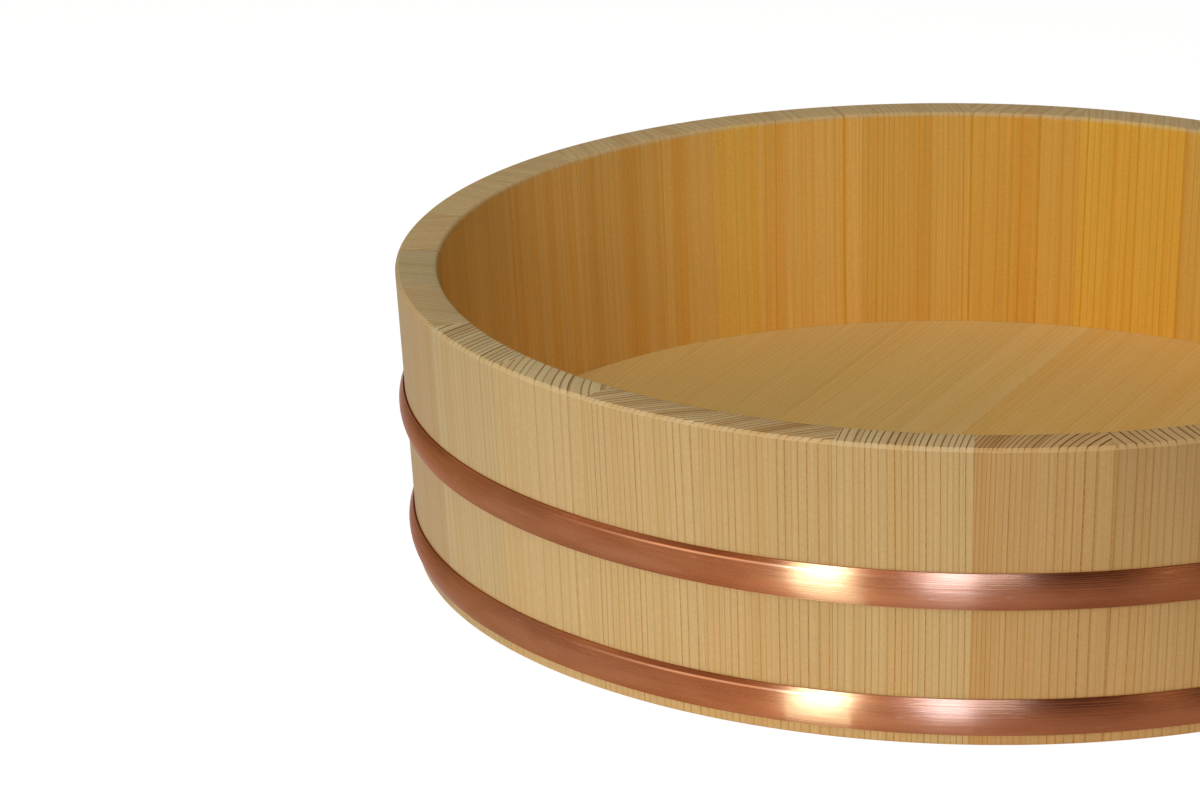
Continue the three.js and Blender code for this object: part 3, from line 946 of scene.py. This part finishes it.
def buildCards(copperOnly):
    # Each card's sides leave the foot turned twice their own angle, which is the way that the hoop
    # there mirrors the view
    for name, card in cards.items():
        side = np.radians(card["sides"])[:, None]
        foot = roundTub(outerRadius(0), side, studio["cardLift"])
        points = foot + roundTub(np.array(card["reach"]), 2 * side, 0)
        shades = np.array([hexToLinear(shade) for shade in card["colours"]])
        receivers = copperOnly if card.get("copperOnly") else None
        addCard(name, points, np.array(card["glow"])[:, None] * shades, receivers)
    upright = roundTub(flag["away"], np.radians(flag["sides"])[:, None], np.array(flag["heights"]))
    addCard("darkFlag", upright, np.outer([flag["glow"]] * 2, hexToLinear(flag["colour"])), copperOnly)


def gather(name, pieces):
    group = bpy.data.collections.new(name)
    for piece in pieces:
        group.objects.link(piece)
    return group


def buildLights():
    scene = bpy.context.scene
    world = bpy.data.worlds.new("studioRoom")
    scene.world = world
    world.use_nodes = True
    world.node_tree.nodes.clear()
    sky = addNode(world.node_tree, "ShaderNodeBackground",
                  {"Color": studio["ambientTint"], "Strength": studio["ambient"]})
    addNode(world.node_tree, "ShaderNodeOutputWorld", links={"Surface": sky})
    hoops = ("upperHoop", "lowerHoop")
    meshes = [piece for piece in scene.objects if piece.type == "MESH"]
    copperOnly = gather("copperOnly", [piece for piece in meshes if piece.name in hoops])
    allElse = gather("allElse", [piece for piece in meshes if piece.name not in hoops])
    middle = Vector((0, 0, wall["height"] / 2))
    for name, box in (softboxes | panels).items():
        light = bpy.data.lights.new(name, "AREA")
        light.shape = "RECTANGLE"
        light.size, light.size_y = box["size"]
        light.energy = box["watts"]
        light.color = hexToLinear(box["colour"])[:3]
        lamp = bpy.data.objects.new(name, light)
        scene.collection.objects.link(lamp)
        receivers = copperOnly if name in panels else allElse
        if "staves" in box:
            receivers = gather(name, [scene.objects[f"stave{number:02d}"] for number in box["staves"]])
        lamp.light_linking.receiver_collection = receivers
        turn, up = math.radians(box["round"]), math.radians(box["up"])
        out = Vector((math.sin(turn) * math.cos(up), -math.cos(turn) * math.cos(up), math.sin(up)))
        lamp.location = middle + out * box["away"]
        lamp.rotation_euler = out.to_track_quat("Z", "Y").to_euler()
    buildCards(copperOnly)
    print("studio:", len(softboxes), "softboxes,", len(panels), "panels,", len(cards) + 1, "cards")


# Camera

camera = {
    "lens": 156.5,             # mm
    "frameWidth": 36,          # mm
    "farthest": 100,
    "away": 1.5573,            # in front of the tub's axis
    "above": 0.484,            # over the rim
    "turn": math.radians(4.286),
    "tilt": math.radians(90 - 18.856),
    "roll": math.radians(-0.264),
}


def buildCamera():
    lens = bpy.data.cameras.new("photoCamera")
    lens.lens = camera["lens"]
    lens.sensor_width = camera["frameWidth"]
    lens.clip_end = camera["farthest"]
    view = bpy.data.objects.new("photoCamera", lens)
    bpy.context.scene.collection.objects.link(view)
    spin = (Matrix.Rotation(camera["turn"], 4, "Z") @ Matrix.Rotation(camera["tilt"], 4, "X")
            @ Matrix.Rotation(camera["roll"], 4, "Z"))
    view.matrix_world = Matrix.Translation((0, -camera["away"], wall["height"] + camera["above"])) @ spin
    bpy.context.scene.camera = view


def buildTub():
    chance = np.random.default_rng(chanceSeed)
    staveWood = ringedSoftwood("planedCypressStave", wood)
    floorWood = ringedSoftwood("planedCypressFloor", wood | {"sapTint": boards["paleTint"]})
    hoopCopper = drawnCopper("drawnCopper", copper)
    for index in range(wall["staves"]):
        buildStave(f"stave_{index + 1:02d}", index, staveWood, chance)
    print("wall:", wall["staves"], "staves")
    for name in ("upper_hoop", "lower_hoop"):
        buildHoop(name, hoopCopper, chance)
    print("hoops: 2")
    for index in range(boards["count"]):
        buildBoard(index, floorWood, chance)
    print("floor:", boards["count"], "boards")
    dowelBamboo = splitBamboo("splitBamboo", bamboo, boards["grain"])
    for name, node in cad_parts.items():
        if name.startswith("floor_dowel"):
            node.data.materials.clear()
            node.data.materials.append(dowelBamboo)
    print("dowels: bamboo")


buildCamera()
buildTub()
buildFloorPlane()
buildLights()
bpy.context.scene.view_settings.view_transform = "Standard"
